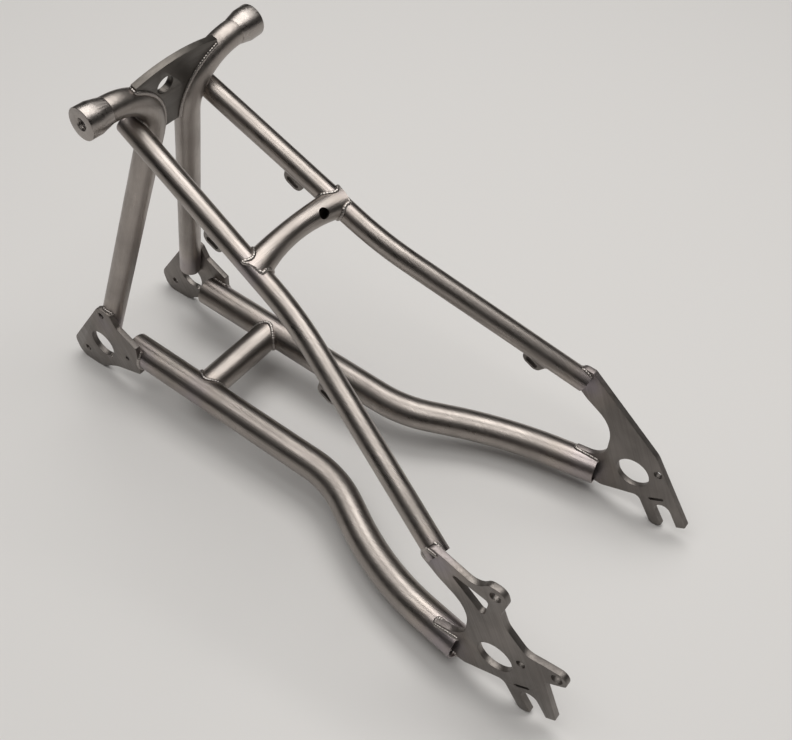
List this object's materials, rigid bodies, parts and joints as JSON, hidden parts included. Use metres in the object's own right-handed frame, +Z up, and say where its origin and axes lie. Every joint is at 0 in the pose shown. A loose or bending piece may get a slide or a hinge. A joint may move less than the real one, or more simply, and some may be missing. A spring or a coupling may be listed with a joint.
{
  "type": "bicycle rear triangle",
  "caption": "Welded titanium rear triangle of a small-wheel folding bicycle, with pivot plates, disc brake tabs, slotted dropouts and roller horns.",
  "frame": {"origin": "middle of the main pivot axis, halfway between the two pivot plates", "axes": "+X towards the pivot end, forward on the bicycle; +Y to the bicycle's left; +Z up"},
  "size_m": [0.3731, 0.1552, 0.2305],
  "materials": {
    "titanium_tube": "brushed",
    "titanium_plate": "satin",
    "titanium_turned": "turned"
  },
  "bodies": {
    "root": {"cable_tab_front_left": "titanium_plate", "cable_tab_front_right": "titanium_plate", "cable_tab_rear_left": "titanium_plate", "cable_tab_rear_right": "titanium_plate", "chainstay_bridge": "titanium_tube", "chainstay_left": "titanium_tube", "chainstay_right": "titanium_tube", "dropout_left": "titanium_plate", "dropout_right": "titanium_plate", "horn_insert_left": "titanium_turned", "horn_insert_right": "titanium_turned", "pivot_plate_left": "titanium_plate", "pivot_plate_right": "titanium_plate", "seatstay_bridge": "titanium_tube", "seatstay_cap_left": "titanium_turned", "seatstay_cap_right": "titanium_turned", "seatstay_left": "titanium_tube", "seatstay_right": "titanium_tube", "top_gusset": "titanium_plate", "upright_left": "titanium_tube", "upright_right": "titanium_tube"}
  },
  "joints": []
}
